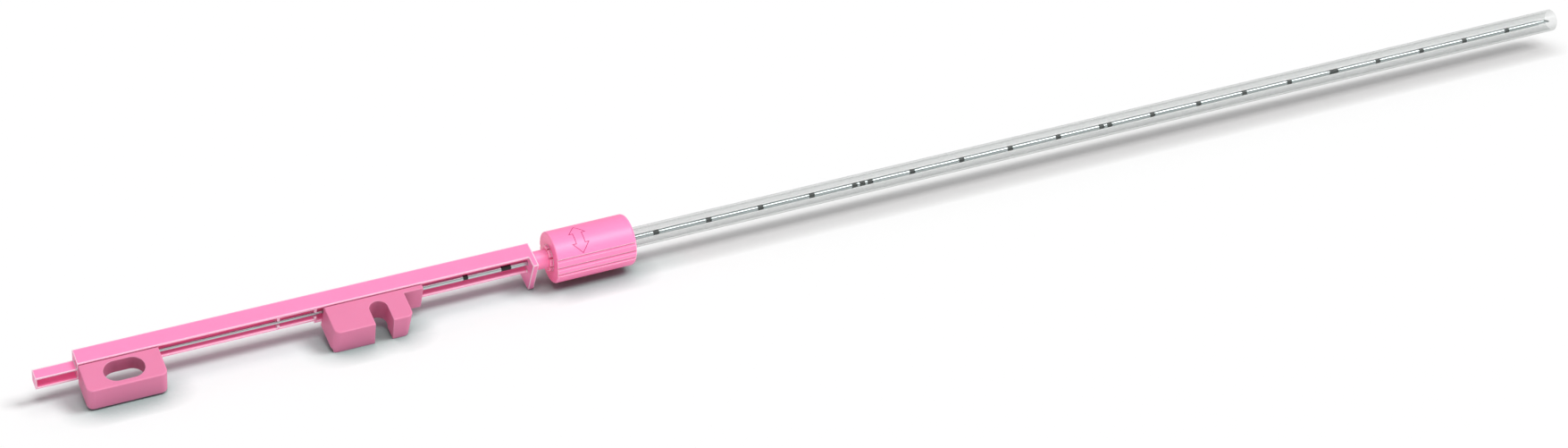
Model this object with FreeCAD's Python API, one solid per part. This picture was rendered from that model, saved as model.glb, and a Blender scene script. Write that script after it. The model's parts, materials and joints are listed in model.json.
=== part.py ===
"""Core biopsy needle set for a reusable biopsy instrument, in its moulded spacer.

A hollow cannula and the notched stylet inside it each end in a plastic hub.
The spacer is a slim moulded channel, open at the front, that keeps both hubs
at their loading distance. A twist-off cap and a clear flared tube guard the
needle in front of the spacer.

The set is built along the X axis: the needle points along +X, its axis is
Y = 0 and Z = 0, the channel opens towards -Y, and X = 0 is where the 1 cm
depth marks are counted from. At the end the whole set is rolled about the
needle and moved, so that it lies as it does on a table, on the foot of its
end plate and on the lower front edge of the cannula hub, with the origin
under the middle of its bounding box.
"""

import FreeCAD, Part
import math
import os

Vector = FreeCAD.Vector

# Needle, in mm
stylet_clearance = 0.03
stylet_tip_x = 0.5
stylet_point_length = 1.6
notch_length = 16.0
notch_from_tip = 6.0
notch_depth = 0.28
cannula_diameter = 0.90
cannula_wall = 0.12
cannula_tip_x = -2.0
cannula_bevel_length = 0.7

# Spacer channel: heights are measured from the needle axis
channel_right_x = -212.85
channel_length = 79.0
channel_front_y = -0.45
channel_back_y = 2.75
channel_top_z = 1.87
channel_bottom_z = -1.50
front_section_bottom_z = -2.03
front_section_length = 39.05
channel_wall = 0.45
end_wall_thickness = 0.3
end_wall_bottom_z = -1.92
channel_edge_radius = 0.12
long_edge_length = 20.0

# Locating ribs in the channel, which stop the hubs
rib_thickness = 0.4
rib_spacing = 6.4
rib_gap_half_height = 0.62

# Tail tab behind the channel
tail_length = 6.9
tail_back_y = 1.6
tail_top_z = 0.6
tail_bottom_z = -1.95
tail_wall = 0.3

# End plate with its foot, and the neck that carries the guard
plate_thickness = 1.0
plate_front_y = -2.65
foot_front_y = -1.5
foot_bottom_z = -5.4
foot_corner_radius = 0.3
neck_diameter = 3.30
neck_end_gap = 1.1
needle_clearance = 0.05

# Hubs
hub_top_z = 1.60
hub_gap = 0.15
hub_edge_radius = 0.18
hub_corner_radius = 1.1
tongue_clearance = 0.10
tongue_end_clearance = 0.2
needle_rear_margin = 0.6
stylet_hub_setback = 0.05
stylet_hub_length = 13.3
stylet_hub_front_y = -6.5
stylet_hub_bottom_z = -2.9
hub_hole_length = 6.8
hub_hole_width = 4.3
hub_hole_from_left = 6.85
hub_hole_y = -3.4
pocket_wall = 0.9
pocket_roof_z = -1.3
cannula_hub_from_rib = 1.6
cannula_hub_length = 13.7
cannula_hub_front_y = -6.65
cannula_hub_bottom_z = -3.28
cannula_hub_rake = 0.55
lip_depth = 2.75
lip_drop = 0.63
lip_inset = 0.4
slot_width = 3.15
slot_from_left = 8.55
slot_top_y = -1.85
nose_length = 3.4
nose_front_y = -1.5
nose_bottom_z = -2.95
nose_rake = 0.25

# Twist-off cap
cap_diameter = 9.05
cap_length = 14.7
cap_gap_to_plate = 3.0
cap_left_edge_radius = 0.25
cap_right_edge_radius = 0.7
flat_distance = 4.25
flat_angle = 17.5
groove_width = 0.6
groove_depth = 0.25
groove_angles = (-18.5, -2.0, 18.5)
collar_diameter = 4.5
collar_length = 0.6
collar_slot_count = 8
collar_slot_width = 0.45
neck_clearance = 0.06

# Clear guard tube, flared towards its open end
sheath_root_diameter = 3.60
sheath_end_diameter = 4.25
sheath_wall = 0.35
sheath_socket_length = 8.0
sheath_end_x = 0.7
sheath_rim_radius = 0.12
socket_clearance = 0.04

# How far a cutting shape reaches past a face, and how exact a match has to be
overrun = 1.0
tolerance = 1e-4

# Sizes that follow from the ones above
needle_radius = cannula_diameter / 2
stylet_diameter = cannula_diameter - 2 * cannula_wall - 2 * stylet_clearance
cap_radius = cap_diameter / 2
channel_left_x = channel_right_x - channel_length
front_section_left_x = channel_right_x - front_section_length
stylet_rib_x = front_section_left_x - rib_spacing
stylet_hub_left_x = channel_left_x + stylet_hub_setback
stylet_hub_right_x = stylet_hub_left_x + stylet_hub_length
hub_hole_x = stylet_hub_left_x + hub_hole_from_left
cannula_hub_left_x = front_section_left_x + cannula_hub_from_rib
cannula_hub_right_x = cannula_hub_left_x + cannula_hub_length
nose_right_x = cannula_hub_right_x + nose_length
slot_x = cannula_hub_left_x + slot_from_left
plate_left_x = channel_right_x - plate_thickness
cap_left_x = channel_right_x + cap_gap_to_plate
cap_right_x = cap_left_x + cap_length
socket_bottom_x = cap_right_x - sheath_socket_length
neck_right_x = socket_bottom_x - neck_end_gap
inner_top_z = channel_top_z - channel_wall
inner_bottom_z = channel_bottom_z + channel_wall
inner_back_y = channel_back_y - channel_wall
hub_back_y = channel_front_y - hub_gap
tongue_top_z = inner_top_z - tongue_clearance


def block(x_low, x_high, y_low, y_high, z_low, z_high):
    """A box between six named planes."""
    corner = Vector(x_low, y_low, z_low)
    return Part.makeBox(x_high - x_low, y_high - y_low, z_high - z_low, corner)


def rod(diameter, x_low, x_high):
    """A cylinder on the needle axis."""
    return Part.makeCylinder(diameter / 2, x_high - x_low, Vector(x_low, 0, 0), Vector(1, 0, 0))


def prism(points, direction):
    """A straight prism over a closed outline."""
    outline = Part.makePolygon(points + [points[0]])
    return Part.Face(outline).extrude(direction)


def edges_where(shape, wanted):
    """The edges of a shape whose midpoint and direction pass a test."""
    found = []
    for edge in shape.Edges:
        start = edge.valueAt(edge.FirstParameter)
        end = edge.valueAt(edge.LastParameter)
        if wanted(edge.CenterOfMass, end - start):
            found.append(edge)
    return found


def near(value, target):
    return abs(value - target) < tolerance


def open_channel(x_low, x_high, bottom_z):
    """A stretch of channel: top flange, back wall and bottom flange."""
    outside = block(x_low, x_high, channel_front_y, channel_back_y, bottom_z, channel_top_z)
    inside = block(
        x_low, x_high, channel_front_y, inner_back_y, bottom_z + channel_wall, inner_top_z)
    return outside.cut(inside)


def channel_rib(x_low, bottom_z):
    """A rib across the channel with a gap in the middle for the needle."""
    x_high = x_low + rib_thickness
    lower = block(
        x_low, x_high, channel_front_y, channel_back_y, bottom_z, -rib_gap_half_height)
    upper = block(
        x_low, x_high, channel_front_y, channel_back_y, rib_gap_half_height, channel_top_z)
    return lower.fuse(upper)


def make_tail():
    """The tab behind the end wall: a shallow tray open at the front."""
    left = channel_left_x - tail_length
    outside = block(
        left, channel_left_x, channel_front_y, tail_back_y, tail_bottom_z, tail_top_z)
    tray = block(
        left + tail_wall, channel_left_x, channel_front_y, tail_back_y - tail_wall,
        tail_bottom_z + tail_wall, tail_top_z - tail_wall)
    return outside.cut(tray)


def make_end_plate():
    """The flag-shaped plate that closes the channel and stands on its foot."""
    outline = [
        Vector(plate_left_x, channel_back_y, channel_top_z),
        Vector(plate_left_x, plate_front_y, channel_top_z),
        Vector(plate_left_x, foot_front_y, foot_bottom_z),
        Vector(plate_left_x, channel_back_y, foot_bottom_z),
    ]
    plate = prism(outline, Vector(plate_thickness, 0, 0))
    corners = edges_where(
        plate, lambda middle, run: abs(run.x) > plate_thickness / 2 and middle.z < 0)
    return plate.makeFillet(foot_corner_radius, corners)


def make_spacer():
    rear = open_channel(channel_left_x, front_section_left_x, channel_bottom_z)
    front = open_channel(front_section_left_x, plate_left_x, front_section_bottom_z)
    end_wall = block(
        channel_left_x, channel_left_x + end_wall_thickness,
        channel_front_y, channel_back_y, end_wall_bottom_z, channel_top_z)
    neck = rod(neck_diameter, channel_right_x, neck_right_x)
    body = rear.multiFuse([
        front,
        end_wall,
        make_tail(),
        channel_rib(stylet_rib_x, channel_bottom_z),
        channel_rib(front_section_left_x, front_section_bottom_z),
        make_end_plate(),
        neck,
    ]).removeSplitter()
    long_edges = edges_where(
        body,
        lambda middle, run: abs(run.x) > long_edge_length
        and (near(middle.y, channel_back_y) or near(middle.y, channel_front_y)))
    body = body.makeFillet(channel_edge_radius, long_edges)
    bore = rod(
        cannula_diameter + 2 * needle_clearance, plate_left_x - overrun, neck_right_x + overrun)
    return body.cut(bore)


def make_tongue(x_low, x_high):
    """The part of a hub that fills the channel and grips the needle."""
    return block(
        x_low, x_high, hub_back_y - hub_edge_radius, inner_back_y - tongue_clearance,
        inner_bottom_z + tongue_clearance, tongue_top_z)


def round_hub_corner(shape, corner_x, corner_y):
    """Rounds the upright corner edge nearest to a point."""
    upright = edges_where(
        shape,
        lambda middle, run: abs(run.z) > hub_corner_radius and near(middle.y, corner_y)
        and abs(middle.x - corner_x) < hub_corner_radius)
    return shape.makeFillet(hub_corner_radius, upright)


def soften_top(shape):
    """A small radius on the straight edges round the top of a hub."""
    rim = edges_where(
        shape,
        lambda middle, run: near(middle.z, hub_top_z) and middle.y < hub_back_y - hub_edge_radius)
    return shape.makeFillet(hub_edge_radius, rim)


def make_stylet_hub():
    """The rear hub: a block with an oblong hole and a hollow underside."""
    body = block(
        stylet_hub_left_x, stylet_hub_right_x, stylet_hub_front_y, hub_back_y,
        stylet_hub_bottom_z, hub_top_z)
    for corner_x in (stylet_hub_left_x, stylet_hub_right_x):
        body = round_hub_corner(body, corner_x, stylet_hub_front_y)
    body = soften_top(body)
    radius = hub_hole_width / 2
    half_run = hub_hole_length / 2 - radius
    depth = hub_top_z - stylet_hub_bottom_z
    hole = block(
        hub_hole_x - half_run, hub_hole_x + half_run, hub_hole_y - radius, hub_hole_y + radius,
        stylet_hub_bottom_z, hub_top_z)
    for end_x in (hub_hole_x - half_run, hub_hole_x + half_run):
        hole = hole.fuse(
            Part.makeCylinder(radius, depth, Vector(end_x, hub_hole_y, stylet_hub_bottom_z)))
    pocket = block(
        stylet_hub_left_x + pocket_wall, stylet_hub_right_x - pocket_wall,
        stylet_hub_front_y + pocket_wall, hub_back_y,
        stylet_hub_bottom_z, pocket_roof_z)
    tongue = make_tongue(
        channel_left_x + end_wall_thickness + tongue_end_clearance, stylet_hub_right_x)
    hub = body.cut(pocket).fuse(tongue).cut(hole).removeSplitter()
    bore = rod(stylet_diameter, stylet_rear_x(), stylet_hub_right_x + overrun)
    return hub.cut(bore)


def stylet_rear_x():
    return stylet_hub_left_x + end_wall_thickness + tongue_end_clearance + needle_rear_margin


def make_cannula_hub():
    """The front hub: a raked block with a slot, a deep front lip and a nose."""
    foot_left = cannula_hub_left_x - cannula_hub_rake
    foot_right = cannula_hub_right_x - cannula_hub_rake
    side = [
        Vector(cannula_hub_left_x, cannula_hub_front_y, hub_top_z),
        Vector(cannula_hub_right_x, cannula_hub_front_y, hub_top_z),
        Vector(foot_right, cannula_hub_front_y, cannula_hub_bottom_z),
        Vector(foot_left, cannula_hub_front_y, cannula_hub_bottom_z),
    ]
    body = prism(side, Vector(0, hub_back_y - cannula_hub_front_y, 0))
    for top_x, foot_x in ((cannula_hub_left_x, foot_left), (cannula_hub_right_x, foot_right)):
        body = round_hub_corner(body, (top_x + foot_x) / 2, cannula_hub_front_y)
    body = soften_top(body)
    lip_top_z = cannula_hub_bottom_z + lip_drop
    behind_lip = block(
        foot_left - overrun, cannula_hub_right_x + overrun,
        cannula_hub_front_y + lip_depth, hub_back_y + overrun,
        cannula_hub_bottom_z, lip_top_z)
    beside_lip = block(
        foot_left - overrun, foot_left + lip_inset,
        cannula_hub_front_y - overrun, hub_back_y + overrun,
        cannula_hub_bottom_z, lip_top_z)
    nose_side = [
        Vector(slot_x + slot_width, nose_front_y, hub_top_z),
        Vector(nose_right_x, nose_front_y, hub_top_z),
        Vector(nose_right_x - nose_rake, nose_front_y, nose_bottom_z),
        Vector(slot_x + slot_width, nose_front_y, nose_bottom_z),
    ]
    nose = prism(nose_side, Vector(0, hub_back_y - nose_front_y, 0))
    tongue = make_tongue(cannula_hub_left_x, nose_right_x)
    radius = slot_width / 2
    depth = hub_top_z - cannula_hub_bottom_z
    arc_y = slot_top_y - radius
    slot = block(
        slot_x - radius, slot_x + radius, cannula_hub_front_y - overrun, arc_y,
        cannula_hub_bottom_z, hub_top_z)
    slot = slot.fuse(
        Part.makeCylinder(radius, depth, Vector(slot_x, arc_y, cannula_hub_bottom_z)))
    hub = body.cut(behind_lip).cut(beside_lip)
    hub = hub.multiFuse([nose, tongue]).cut(slot).removeSplitter()
    bore = rod(cannula_diameter, cannula_hub_left_x - overrun, nose_right_x + overrun)
    return hub.cut(bore)


def make_cannula():
    """A thin tube with a bevelled cutting end."""
    tube = rod(cannula_diameter, cannula_hub_left_x, cannula_tip_x)
    bore = rod(
        cannula_diameter - 2 * cannula_wall, cannula_hub_left_x - overrun,
        cannula_tip_x + overrun)
    tube = tube.cut(bore)
    reach = cannula_diameter
    wedge = [
        Vector(cannula_tip_x - cannula_bevel_length, -reach, needle_radius),
        Vector(cannula_tip_x + cannula_bevel_length, -reach, needle_radius),
        Vector(cannula_tip_x, -reach, -needle_radius),
    ]
    return tube.cut(prism(wedge, Vector(0, 2 * reach, 0)))


def make_stylet():
    """The inner rod: a slanted point, and a notch that holds the sample."""
    bar = rod(stylet_diameter, stylet_rear_x(), stylet_tip_x)
    radius = stylet_diameter / 2
    reach = stylet_diameter
    above_point = [
        Vector(stylet_tip_x - stylet_point_length, -reach, radius),
        Vector(stylet_tip_x + stylet_point_length, -reach, radius),
        Vector(stylet_tip_x + stylet_point_length, -reach, -radius),
        Vector(stylet_tip_x, -reach, -radius),
    ]
    notch_right = stylet_tip_x - notch_from_tip
    notch_floor_z = radius - notch_depth
    notch = [
        Vector(notch_right - notch_length, -reach, radius),
        Vector(notch_right, -reach, radius),
        Vector(notch_right - notch_depth, -reach, notch_floor_z),
        Vector(notch_right - notch_length + notch_depth, -reach, notch_floor_z),
    ]
    bar = bar.cut(prism(above_point, Vector(0, 2 * reach, 0)))
    return bar.cut(prism(notch, Vector(0, 2 * reach, 0)))


def side_grip_cutter():
    """What the cap loses on one side: a flat with grooves along it."""
    x_low = cap_left_x - overrun
    x_high = cap_right_x + overrun
    cutter = block(x_low, x_high, -cap_diameter, -flat_distance, -cap_radius, cap_radius)
    for angle in groove_angles:
        height = flat_distance * math.tan(math.radians(angle))
        groove = [
            Vector(x_low, -flat_distance, height - groove_width / 2),
            Vector(x_low, -flat_distance, height + groove_width / 2),
            Vector(x_low, -flat_distance + groove_depth, height + groove_width / 4),
        ]
        cutter = cutter.fuse(prism(groove, Vector(x_high - x_low, 0, 0)))
    return cutter


def round_rim(shape, rim_x, radius):
    """A radius on the round edges of a turned shape at one place along X."""
    rim = [edge for edge in shape.Edges
           if near(edge.CenterOfMass.x, rim_x) and edge.Curve.TypeId == "Part::GeomCircle"]
    return shape.makeFillet(radius, rim)


def make_cap():
    """The twist-off cap: flats to grip, and a slotted collar round the neck."""
    body = rod(cap_diameter, cap_left_x, cap_right_x)
    body = round_rim(body, cap_right_x, cap_right_edge_radius)
    body = round_rim(body, cap_left_x, cap_left_edge_radius)
    grip = side_grip_cutter()
    for turn in (0, 180):
        side = grip.copy()
        side.rotate(Vector(0, 0, 0), Vector(1, 0, 0), turn - flat_angle)
        body = body.cut(side)
    collar = rod(collar_diameter, cap_left_x - collar_length, cap_left_x)
    for number in range(collar_slot_count):
        slot = block(
            cap_left_x - collar_length, cap_left_x, 0, collar_diameter,
            -collar_slot_width / 2, collar_slot_width / 2)
        slot.rotate(Vector(0, 0, 0), Vector(1, 0, 0), 360 / collar_slot_count * number)
        collar = collar.cut(slot)
    body = body.fuse(collar)
    neck_bore = rod(
        neck_diameter + 2 * neck_clearance, cap_left_x - 2 * collar_length, cap_right_x)
    socket = rod(
        sheath_root_diameter + 2 * socket_clearance, socket_bottom_x, cap_right_x + overrun)
    return body.cut(neck_bore).cut(socket)


def make_sheath():
    """The clear tube: straight in the cap, then flared, with a soft rim."""
    root = sheath_root_diameter / 2
    end = sheath_end_diameter / 2
    start_x = socket_bottom_x + socket_clearance
    outline = [
        Vector(start_x, root - sheath_wall, 0),
        Vector(start_x, root, 0),
        Vector(cap_right_x, root, 0),
        Vector(sheath_end_x, end, 0),
        Vector(sheath_end_x, end - sheath_wall, 0),
        Vector(cap_right_x, root - sheath_wall, 0),
    ]
    profile = Part.Face(Part.makePolygon(outline + [outline[0]]))
    tube = profile.revolve(Vector(0, 0, 0), Vector(1, 0, 0), 360)
    return round_rim(tube, sheath_end_x, sheath_rim_radius)


def rest_roll():
    """How far the set rolls forward until the foot and the hub share a floor."""
    rise = cannula_hub_bottom_z - foot_bottom_z
    run = foot_front_y - cannula_hub_front_y
    return math.degrees(math.atan2(rise, run))


def lay_down(pieces):
    """Rolls the set to its resting place and puts the origin under its middle."""
    for shape in pieces.values():
        shape.rotate(Vector(0, 0, 0), Vector(1, 0, 0), rest_roll())
    whole = Part.makeCompound(list(pieces.values()))
    bounds = whole.optimalBoundingBox(False, False)
    middle = bounds.Center
    for shape in pieces.values():
        shape.translate(Vector(-middle.x, -middle.y, -bounds.ZMin))


def main():
    pieces = {
        "spacer": make_spacer(),
        "twist_cap": make_cap(),
        "needle_guard_tube": make_sheath(),
        "cannula": make_cannula(),
        "cannula_hub": make_cannula_hub(),
        "stylet": make_stylet(),
        "stylet_hub": make_stylet_hub(),
    }
    lay_down(pieces)
    os.makedirs("parts", exist_ok=True)
    for name, shape in pieces.items():
        shape.exportStep(os.path.join("parts", name + ".step"))
        print(name, "solids", len(shape.Solids), "volume", round(shape.Volume, 2),
              "valid", shape.isValid())


main()
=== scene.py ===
"""Looks of the biopsy needle set: moulded pink plastic, ground steel with depth
marks, and a clear guard tube, on a pale floor under soft light."""

import json
import math

import bpy
from mathutils import Matrix, Vector


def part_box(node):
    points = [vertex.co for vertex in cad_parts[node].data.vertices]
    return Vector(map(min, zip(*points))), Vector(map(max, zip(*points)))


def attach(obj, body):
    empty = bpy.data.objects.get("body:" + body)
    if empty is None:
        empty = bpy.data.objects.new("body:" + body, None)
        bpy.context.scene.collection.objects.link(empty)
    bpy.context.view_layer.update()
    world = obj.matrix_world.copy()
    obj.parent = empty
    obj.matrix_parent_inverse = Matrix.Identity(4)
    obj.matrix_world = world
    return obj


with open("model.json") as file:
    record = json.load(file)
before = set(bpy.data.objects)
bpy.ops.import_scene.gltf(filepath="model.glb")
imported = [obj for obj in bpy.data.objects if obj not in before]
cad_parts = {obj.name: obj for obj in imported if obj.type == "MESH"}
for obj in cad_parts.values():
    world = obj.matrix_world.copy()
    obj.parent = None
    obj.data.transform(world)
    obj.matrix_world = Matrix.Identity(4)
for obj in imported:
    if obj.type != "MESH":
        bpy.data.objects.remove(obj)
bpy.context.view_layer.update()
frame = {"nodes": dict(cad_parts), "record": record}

# The frame is in metres, and lengths in mm are marked with MM or named as such
MM = 0.001

# The needle's own directions: its axis, the place its marks count from, and its roll
tube_low, tube_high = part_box("needle_guard_tube")
TUBE_END_PAST_DATUM = 0.7 * MM
DATUM_X = tube_high.x - TUBE_END_PAST_DATUM
AXIS_Y = (tube_low.y + tube_high.y) / 2
AXIS_Z = (tube_low.z + tube_high.z) / 2
hub_mount = next(m for m in frame["record"]["mounts"] if m["name"] == "stylet_hub_hole")
ROLL = math.atan2(-hub_mount["axis"][1], hub_mount["axis"][2])

# Camera: its lens, where it stands from the datum, how it is turned, and how far it sees
LENS_MM = 71.63
SENSOR_MM = 36.0
CAMERA_FROM_DATUM = Vector((-367.0, -452.4, 242.7)) * MM
CAMERA_HEADING = math.radians(24.01)
CAMERA_DOWN_TILT = math.radians(26.51)
CAMERA_ROLL = math.radians(2.25)
CAMERA_NEAR = 0.01
CAMERA_FAR = 20.0

# Lights: name, degrees above the floor, degrees from +X towards +Y, and strength
LIGHTS = (("key", 50, 320, 0.53), ("front", 60, 270, 0.34))
LIGHT_BREADTH = 24.0
WORLD_STRENGTH = 0.33

# Each moulding's finish: how wide its painted edge highlights are, its roughness, the strength
# of its grain, and how far across a hole or gap its painted shade reaches
SPACER_FINISH = {"edge_highlight_width": 0.35 * MM, "roughness": 0.42, "grain": 0.15, "recess_shade_reach": 0.3 * MM}
CAP_FINISH = {"edge_highlight_width": 0.20 * MM, "roughness": 0.38, "grain": 0.12, "recess_shade_reach": 0.8 * MM}
HUB_FINISH = {"edge_highlight_width": 0.25 * MM, "roughness": 0.55, "grain": 0.3, "recess_shade_reach": 2.5 * MM}

# What all mouldings share: the gain of the painted edge highlights, the share of the colour
# left by the painted shade deep in a hole, the slow flow in the colour, the fine grain, and
# light inside the plastic
EDGE_HIGHLIGHT_GAIN = 15.0
RECESS_SHADE_SHARE = 0.32
RECESS_SHADE_POWER = 1.2
FLOW_SCALE = 180.0
FLOW_DETAIL = 2.0
GRAIN_SCALE = 9000.0
GRAIN_DETAIL = 3.0
GRAIN_HEIGHT = 0.01 * MM
ROUGHNESS_SPREAD = 0.12
INNER_LIGHT = 0.12
INNER_LIGHT_COLOURS = (1.0, 0.45, 0.55)
INNER_LIGHT_DEPTH = 0.6 * MM

# The darker share of a colour that varies over a surface
DARKER_SHARE = 0.94

# Samples of each measure of an edge or of shelter
MEASURE_SAMPLES = 6

# Steel: long fine lines, and the dull print of the marks
LINES_STRETCH = (0.01, 1.0, 1.0)
LINES_SCALE = 3000.0
LINES_DETAIL = 1.0
STEEL_ROUGHNESS = 0.26
STEEL_ROUGHNESS_SPREAD = 0.04
MARK_EXTRA_ROUGHNESS = 0.2

# Guard tube: haze, and its opacity seen square on, edge-on, and near its underside, where
# more opacity paints shade on the lower half
HAZE_SCALE = 400.0
HAZE_DETAIL = 2.0
TUBE_ROUGHNESS = 0.12
TUBE_OPACITY = 0.07
UNDERSIDE_SHADE_OPACITY = 0.07
EDGE_ON_OPACITY = 0.28
EDGE_ON_BLEND = 0.35
UNDERSIDE_SHADE_DEPTH = 1.2 * MM
UNDERSIDE_SHADE_AT_AXIS = 0.4

# The floor has a painted shadow close to the object and painted shade in a cooler tint a
# little further out, which cancels the pink of light bounced off the mouldings; the cooler
# tint fades over a short way past the cap
FLOOR_SIZE = 6.0
FLOOR_SHADOW_REACH = 5.5 * MM
FLOOR_SHADOW_POWER = 1.6
FLOOR_NEAR_SHADE_REACH = 12.0 * MM
FLOOR_NEAR_SHADE_POWER = 1.0
FLOOR_SHADE_TINT_FADE = 12.0 * MM

# Depth marks on the cannula, in mm from the datum
CENTIMETRE = 10.0
MARK_COUNT = 19
MARK_WIDTH = 1.1
WIDE_MARK_AT = 5
WIDE_MARK_WIDTH = 2.0
DOUBLE_MARK_AT = 10
DOUBLE_MARK_STEP = 1.7
TRIPLE_MARK_AT = 15
TRIPLE_MARK_STEP = 1.55
REAR_MARKS = ((-225.15, 0.9), (-217.8, 1.8))

# Double arrow in fine dark lines round the cap, whose colour is painted shade of its engraved
# grooves: lengths in mm, angles in degrees above the open side. The line widens at its
# corners, and a sharper one than the last value gets no wider
COLLAR_LENGTH = 0.6
ARROW_FROM_COLLAR = 4.8
ARROW_HEAD_HALF_WIDTH = 1.45
ARROW_SHAFT_HALF_WIDTH = 0.8
ARROW_MIDDLE_ANGLE = 79.0
ARROW_SHAFT_HALF_ANGLE = 13.0
ARROW_HALF_ANGLE = 35.0
ARROW_SIDE_STEPS = 8
ARROW_ROUGHNESS = 0.6
LINE_WIDTH = 0.15
LINE_LIFT = 0.012
SHARPEST_CORNER = 0.4


def colour(red, green, blue):
    """A display colour, 0 to 255, as linear values by the sRGB curve."""
    linear = []
    for value in (red, green, blue):
        share = value / 255
        if share <= 0.04045:
            linear.append(share / 12.92)
        else:
            linear.append(((share + 0.055) / 1.055) ** 2.4)
    return (*linear, 1.0)


def scaled(tint, share):
    return tuple(share * value for value in tint[:3]) + (1.0,)


# Each moulding's colour, and the paler colour that paints highlights on its edges
PINK = colour(253, 139, 188)
PINK_EDGE_HIGHLIGHT = colour(255, 244, 250)
CAP_PINK = colour(252, 144, 196)
CAP_EDGE_HIGHLIGHT = colour(255, 226, 240)
# Painted shade of the arrow's engraved grooves
ARROW_GROOVE_SHADE = colour(202, 76, 132)
HUB_PINK = colour(232, 131, 171)
HUB_EDGE_HIGHLIGHT = colour(240, 152, 186)
# Painted light: each moulding gives off a faint pink light of its own, though it is no lamp
SPACER_PAINTED_GLOW = (0.08, 0.018, 0.038, 1.0)
CAP_PAINTED_GLOW = (0.18, 0.010, 0.025, 1.0)
HUB_PAINTED_GLOW = (0.0, 0.0, 0.0, 1.0)
STEEL = colour(196, 206, 206)
MARK_BLACK = colour(8, 9, 9)
TUBE_TINT = colour(150, 158, 155)
FLOOR_WHITE = colour(252, 252, 252)
# Painted shade and painted shadow for the floor near the object, tinted to cancel pink bounce
# light
FLOOR_NEAR_SHADE = colour(208, 249, 242)
FLOOR_SHADOW = colour(122, 147, 141)
FLOOR_NEAR_SHADE_TUBE = colour(246, 244, 244)
FLOOR_SHADOW_TUBE = colour(150, 146, 146)
LIGHT_WHITE = (1.0, 1.0, 1.0, 1.0)


class Nodes:
    """A material with short calls for adding and linking its nodes."""

    def __init__(self, name):
        self.material = bpy.data.materials.new(name)
        self.material.use_nodes = True
        self.tree = self.material.node_tree
        self.shader = self.tree.nodes["Principled BSDF"]

    def add(self, kind, **settings):
        node = self.tree.nodes.new("ShaderNode" + kind)
        for key, value in settings.items():
            setattr(node, key, value)
        return node

    def link(self, output, socket):
        self.tree.links.new(output, socket)

    def set(self, name, value):
        """Give one of the shader's own sockets a fixed value."""
        self.shader.inputs[name].default_value = value

    def feed(self, name, output):
        """Link an output to one of the shader's own sockets."""
        self.link(output, self.shader.inputs[name])

    def math(self, operation, first, second=None, third=None):
        node = self.add("Math", operation=operation)
        for socket, value in zip(node.inputs, (first, second, third)):
            if value is None:
                continue
            if isinstance(value, (int, float)):
                socket.default_value = value
            else:
                self.link(value, socket)
        return node.outputs[0]

    def within_one(self, value):
        """The value, kept between 0 and 1."""
        return self.math("MAXIMUM", self.math("MINIMUM", value, 1.0), 0.0)

    def noise(self, scale, detail, coordinates):
        node = self.add("TexNoise")
        node.inputs["Scale"].default_value = scale
        node.inputs["Detail"].default_value = detail
        self.link(coordinates, node.inputs["Vector"])
        return node.outputs["Fac"]

    def object_place(self):
        return self.add("TexCoord").outputs["Object"]

    def split(self, place):
        """The X, Y and Z of a place."""
        node = self.add("SeparateXYZ")
        self.link(place, node.inputs["Vector"])
        return node.outputs

    def mix(self, factor, first, second):
        node = self.add("Mix", data_type="RGBA")
        self.link(factor, node.inputs["Factor"])
        for socket, value in ((node.inputs["A"], first), (node.inputs["B"], second)):
            if isinstance(value, tuple):
                socket.default_value = value
            else:
                self.link(value, socket)
        return node.outputs["Result"]


def edge_highlight_mask(nodes, radius):
    """Where highlights are painted: 1 on sharp edges and 0 on flat faces, from how far a
    rounded normal turns.
    """
    rounded = nodes.add("Bevel", samples=MEASURE_SAMPLES)
    rounded.inputs["Radius"].default_value = radius
    plain = nodes.add("NewGeometry")
    likeness = nodes.add("VectorMath", operation="DOT_PRODUCT")
    nodes.link(rounded.outputs["Normal"], likeness.inputs[0])
    nodes.link(plain.outputs["Normal"], likeness.inputs[1])
    turn = nodes.math("SUBTRACT", 1.0, likeness.outputs["Value"])
    highlight_mask = nodes.math("MINIMUM", nodes.math("MULTIPLY", turn, EDGE_HIGHLIGHT_GAIN), 1.0)
    return highlight_mask, rounded.outputs["Normal"]


def openness_for_painted_shade(nodes, reach, power, own_shape_only):
    """1 on open faces, falling towards 0 deep in holes and narrow gaps: the measure that
    paints shade.
    """
    shelter = nodes.add("AmbientOcclusion", samples=MEASURE_SAMPLES, only_local=own_shape_only)
    shelter.inputs["Distance"].default_value = reach
    return nodes.math("POWER", shelter.outputs["AO"], power)


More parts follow.
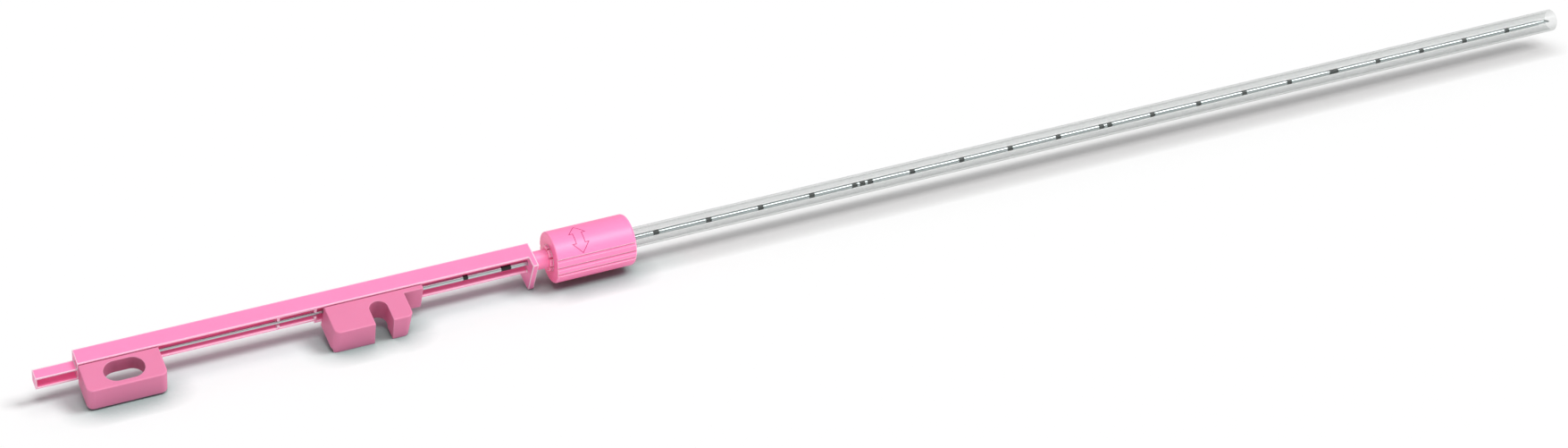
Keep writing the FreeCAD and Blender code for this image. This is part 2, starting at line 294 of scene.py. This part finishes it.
def moulded_plastic(name, body, edge, painted_glow, edge_highlight_width, roughness, grain, recess_shade_reach):
    """Satin moulded plastic: faint flow in the colour, fine grain, painted highlights on the
    edges and painted shade in holes and gaps.

    The faces give off a faint pink light of their own though they are no lamp: painted light,
    which keeps faces in shade strongly coloured and fades in holes and gaps.
    """
    nodes = Nodes(name)
    place = nodes.object_place()
    # Painted highlights: the sharp edges take a paler colour
    highlight_mask, rounded = edge_highlight_mask(nodes, edge_highlight_width)
    flow = nodes.noise(FLOW_SCALE, FLOW_DETAIL, place)
    base = nodes.mix(flow, scaled(body, DARKER_SHARE), body)
    # Painted shade: the colour darkens in the moulding's own holes and gaps
    unshaded = openness_for_painted_shade(nodes, recess_shade_reach, RECESS_SHADE_POWER, True)
    base = nodes.mix(unshaded, scaled(body, RECESS_SHADE_SHARE), base)
    # Painted light from the faces themselves, less where the painted shade falls
    nodes.set("Emission Color", painted_glow)
    nodes.feed("Emission Strength", unshaded)
    nodes.feed("Base Color", nodes.mix(highlight_mask, base, edge))
    fine = nodes.noise(GRAIN_SCALE, GRAIN_DETAIL, place)
    bump = nodes.add("Bump")
    bump.inputs["Strength"].default_value = grain
    bump.inputs["Distance"].default_value = GRAIN_HEIGHT
    nodes.link(fine, bump.inputs["Height"])
    nodes.link(rounded, bump.inputs["Normal"])
    nodes.feed("Normal", bump.outputs["Normal"])
    least_rough = roughness - ROUGHNESS_SPREAD / 2
    nodes.feed("Roughness", nodes.math("MULTIPLY_ADD", fine, ROUGHNESS_SPREAD, least_rough))
    nodes.set("Subsurface Weight", INNER_LIGHT)
    nodes.set("Subsurface Radius", INNER_LIGHT_COLOURS)
    nodes.set("Subsurface Scale", INNER_LIGHT_DEPTH)
    return nodes.material


def mark_places():
    """Every black mark on the cannula, as its middle and its width in mm."""
    marks = list(REAR_MARKS)
    for number in range(1, MARK_COUNT + 1):
        middle = -CENTIMETRE * number
        if number == WIDE_MARK_AT:
            marks.append((middle, WIDE_MARK_WIDTH))
        elif number == DOUBLE_MARK_AT:
            for side in (-0.5, 0.5):
                marks.append((middle + side * DOUBLE_MARK_STEP, MARK_WIDTH))
        elif number == TRIPLE_MARK_AT:
            for side in (-1, 0, 1):
                marks.append((middle + side * TRIPLE_MARK_STEP, MARK_WIDTH))
        else:
            marks.append((middle, MARK_WIDTH))
    return marks


def ground_steel(name):
    """Drawn and ground steel, with faint long lines along the needle.

    Gives the nodes with the place, colour and roughness that marks are laid over.
    """
    nodes = Nodes(name)
    place = nodes.object_place()
    stretched = nodes.add("Mapping")
    stretched.inputs["Scale"].default_value = LINES_STRETCH
    nodes.link(place, stretched.inputs["Vector"])
    lines = nodes.noise(LINES_SCALE, LINES_DETAIL, stretched.outputs["Vector"])
    base = nodes.mix(lines, scaled(STEEL, DARKER_SHARE), STEEL)
    nodes.feed("Base Color", base)
    nodes.set("Metallic", 1.0)
    rough = nodes.math("MULTIPLY_ADD", lines, STEEL_ROUGHNESS_SPREAD, STEEL_ROUGHNESS)
    nodes.feed("Roughness", rough)
    return nodes, place, base, rough


def marked_steel(name):
    """The cannula's steel with its etched black depth marks."""
    nodes, place, base, rough = ground_steel(name)
    along = nodes.split(place)["X"]
    covered = None
    for middle, width in mark_places():
        here = nodes.math("COMPARE", along, DATUM_X + middle * MM, width / 2 * MM)
        covered = here if covered is None else nodes.math("MAXIMUM", covered, here)
    nodes.feed("Base Color", nodes.mix(covered, base, MARK_BLACK))
    nodes.feed("Metallic", nodes.math("SUBTRACT", 1.0, covered))
    nodes.feed("Roughness", nodes.math("MULTIPLY_ADD", covered, MARK_EXTRA_ROUGHNESS, rough))
    return nodes.material


def clear_plastic(name):
    """The thin clear tube: faintly milky, denser where it is seen edge-on, and denser and so
    darker on its underside as painted shade.
    """
    nodes = Nodes(name)
    place = nodes.object_place()
    haze = nodes.noise(HAZE_SCALE, HAZE_DETAIL, place)
    nodes.feed("Base Color", nodes.mix(haze, scaled(TUBE_TINT, DARKER_SHARE), TUBE_TINT))
    nodes.set("Roughness", TUBE_ROUGHNESS)
    # Painted shade: more opacity on the underside darkens the tube's lower half
    depth = nodes.math("SUBTRACT", AXIS_Z, nodes.split(place)["Z"])
    underside_shade = nodes.math("MULTIPLY_ADD", depth, 1 / UNDERSIDE_SHADE_DEPTH, UNDERSIDE_SHADE_AT_AXIS)
    underside_shade = nodes.within_one(underside_shade)
    facing = nodes.add("LayerWeight")
    facing.inputs["Blend"].default_value = EDGE_ON_BLEND
    square_on = nodes.math("MULTIPLY_ADD", underside_shade, UNDERSIDE_SHADE_OPACITY, TUBE_OPACITY)
    opacity = nodes.math("MULTIPLY_ADD", facing.outputs["Facing"], EDGE_ON_OPACITY, square_on)
    nodes.feed("Alpha", opacity)
    return nodes.material


def own_frame(x, y, z):
    """A point given along the needle and square to it, in mm, as a place in the frame."""
    across = y * math.cos(ROLL) - z * math.sin(ROLL)
    height = y * math.sin(ROLL) + z * math.cos(ROLL)
    return Vector((DATUM_X + x * MM, AXIS_Y + across * MM, AXIS_Z + height * MM))


def on_cap(x, angle, radius):
    """A point round the cap: the angle is counted up from the spacer's open side."""
    turn = math.radians(angle)
    return own_frame(x, -radius * math.cos(turn), radius * math.sin(turn))


def arrow_corners(middle_x):
    """The outline of the double arrow, as pairs of place along the cap and angle."""
    shaft = ARROW_SHAFT_HALF_ANGLE
    corners = [(0.0, ARROW_HALF_ANGLE)]
    corners += [(ARROW_HEAD_HALF_WIDTH, shaft), (ARROW_SHAFT_HALF_WIDTH, shaft)]
    corners += [(ARROW_SHAFT_HALF_WIDTH, -shaft), (ARROW_HEAD_HALF_WIDTH, -shaft)]
    corners += [(0.0, -ARROW_HALF_ANGLE)]
    corners += [(-x, angle) for x, angle in reversed(corners[1:5])]
    return [(middle_x + x, ARROW_MIDDLE_ANGLE + angle) for x, angle in corners]


def even_steps(corners, steps):
    """Points spread along each side of a closed outline."""
    points = []
    for start, end in zip(corners, corners[1:] + corners[:1]):
        for number in range(steps):
            share = number / steps
            points.append([a + (b - a) * share for a, b in zip(start, end)])
    return points


def ribbon(outline, radius):
    """A narrow closed band that follows an outline on the cap's round side."""
    mm_per_degree = math.radians(radius)
    count = len(outline)
    verts = []
    for number, (x, angle) in enumerate(outline):
        before = outline[number - 1]
        after = outline[(number + 1) % count]
        inward = Vector((x - before[0], (angle - before[1]) * mm_per_degree)).normalized()
        onward = Vector((after[0] - x, (after[1] - angle) * mm_per_degree)).normalized()
        along = (inward + onward).normalized()
        widen = 1 / max(along.dot(onward), SHARPEST_CORNER)
        side_x = along.y * LINE_WIDTH / 2 * widen
        side_angle = -along.x * LINE_WIDTH / 2 * widen / mm_per_degree
        verts.append(on_cap(x + side_x, angle + side_angle, radius))
        verts.append(on_cap(x - side_x, angle - side_angle, radius))
    faces = []
    for number in range(count):
        here = 2 * number
        there = 2 * ((number + 1) % count)
        faces.append((here, here + 1, there + 1, there))
    mesh = bpy.data.meshes.new("arrow")
    mesh.from_pydata(verts, [], faces)
    return mesh


def add_arrow():
    """The fine lines of the double arrow round the cap, just clear of its surface, in a dark
    pink that paints the shade of engraved grooves.
    """
    low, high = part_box("twist_cap")
    radius = (high.z - low.z) / 2 / MM + LINE_LIFT
    left = (low.x - DATUM_X) / MM
    middle_x = left + COLLAR_LENGTH + ARROW_FROM_COLLAR
    mesh = ribbon(even_steps(arrow_corners(middle_x), ARROW_SIDE_STEPS), radius)
    arrow = bpy.data.objects.new("arrow", mesh)
    bpy.context.scene.collection.objects.link(arrow)
    nodes = Nodes("arrow_groove_shade")
    nodes.set("Base Color", ARROW_GROOVE_SHADE)
    nodes.set("Roughness", ARROW_ROUGHNESS)
    mesh.materials.append(nodes.material)
    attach(arrow, "cap")


def dress(node, material):
    thing = frame["nodes"][node]
    thing.data.materials.clear()
    thing.data.materials.append(material)


def dress_all():
    """Give every solid its material and its slot, and the cap its arrow."""
    spacer = moulded_plastic("pink_spacer", PINK, PINK_EDGE_HIGHLIGHT, SPACER_PAINTED_GLOW, **SPACER_FINISH)
    cap = moulded_plastic("pink_cap", CAP_PINK, CAP_EDGE_HIGHLIGHT, CAP_PAINTED_GLOW, **CAP_FINISH)
    hub = moulded_plastic("pink_hub", HUB_PINK, HUB_EDGE_HIGHLIGHT, HUB_PAINTED_GLOW, **HUB_FINISH)
    steel = ground_steel("needle_steel")[0].material
    dress("spacer", spacer)
    dress("twist_cap", cap)
    add_arrow()
    dress("stylet_hub", hub)
    dress("cannula_hub", hub)
    dress("stylet", steel)
    dress("cannula", marked_steel("marked_steel"))
    dress("needle_guard_tube", clear_plastic("clear_tube"))


def floor_material():
    """Matt white, with a painted shadow under the object and painted shade a little further
    out, tinted cooler near the mouldings than by the tube.
    """
    nodes = Nodes("floor")
    along = nodes.split(nodes.object_place())["X"]
    past_cap = nodes.math("SUBTRACT", along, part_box("twist_cap")[1].x)
    by_tube = nodes.within_one(nodes.math("MULTIPLY", past_cap, 1 / FLOOR_SHADE_TINT_FADE))
    # Painted shade a little further out from the object
    near = nodes.mix(by_tube, FLOOR_NEAR_SHADE, FLOOR_NEAR_SHADE_TUBE)
    shadow_colour = nodes.mix(by_tube, FLOOR_SHADOW, FLOOR_SHADOW_TUBE)
    clear = openness_for_painted_shade(nodes, FLOOR_NEAR_SHADE_REACH, FLOOR_NEAR_SHADE_POWER, False)
    open_floor = nodes.mix(clear, near, FLOOR_WHITE)
    # Painted contact shadow under the object
    unshadowed = openness_for_painted_shade(nodes, FLOOR_SHADOW_REACH, FLOOR_SHADOW_POWER, False)
    nodes.feed("Base Color", nodes.mix(unshadowed, shadow_colour, open_floor))
    nodes.set("Roughness", 1.0)
    nodes.set("Specular IOR Level", 0.0)
    return nodes.material


def make_floor():
    mesh = bpy.data.meshes.new("floor")
    half = FLOOR_SIZE / 2
    corners = [(-half, -half, 0), (half, -half, 0), (half, half, 0), (-half, half, 0)]
    mesh.from_pydata(corners, [], [(0, 1, 2, 3)])
    floor = bpy.data.objects.new("floor", mesh)
    bpy.context.scene.collection.objects.link(floor)
    mesh.materials.append(floor_material())


def add_soft_light(name, elevation, heading, strength):
    """A broad distant light."""
    sun = bpy.data.lights.new(name, "SUN")
    sun.energy = strength * math.pi
    sun.angle = math.radians(LIGHT_BREADTH)
    light = bpy.data.objects.new(name, sun)
    up = math.radians(elevation)
    around = math.radians(heading)
    towards_light = Vector(
        (math.cos(up) * math.cos(around), math.cos(up) * math.sin(around), math.sin(up)))
    light.rotation_euler = towards_light.to_track_quat("Z", "Y").to_euler()
    bpy.context.scene.collection.objects.link(light)


def make_lights():
    for light in LIGHTS:
        add_soft_light(*light)

    world = bpy.data.worlds.new("studio")
    world.use_nodes = True
    background = world.node_tree.nodes["Background"]
    background.inputs["Color"].default_value = LIGHT_WHITE
    background.inputs["Strength"].default_value = WORLD_STRENGTH
    bpy.context.scene.world = world


def make_camera():
    data = bpy.data.cameras.new("camera")
    data.lens = LENS_MM
    data.sensor_width = SENSOR_MM
    data.clip_start = CAMERA_NEAR
    data.clip_end = CAMERA_FAR
    camera = bpy.data.objects.new("camera", data)
    place = Matrix.Translation(Vector((DATUM_X, AXIS_Y, AXIS_Z)) + CAMERA_FROM_DATUM)
    heading = Matrix.Rotation(-CAMERA_HEADING, 4, "Z")
    tilt = Matrix.Rotation(math.pi / 2 - CAMERA_DOWN_TILT, 4, "X")
    roll = Matrix.Rotation(-CAMERA_ROLL, 4, "Z")
    camera.matrix_world = place @ heading @ tilt @ roll
    bpy.context.scene.collection.objects.link(camera)
    bpy.context.scene.camera = camera


dress_all()
make_floor()
make_lights()
make_camera()
bpy.context.scene.view_settings.view_transform = "Standard"
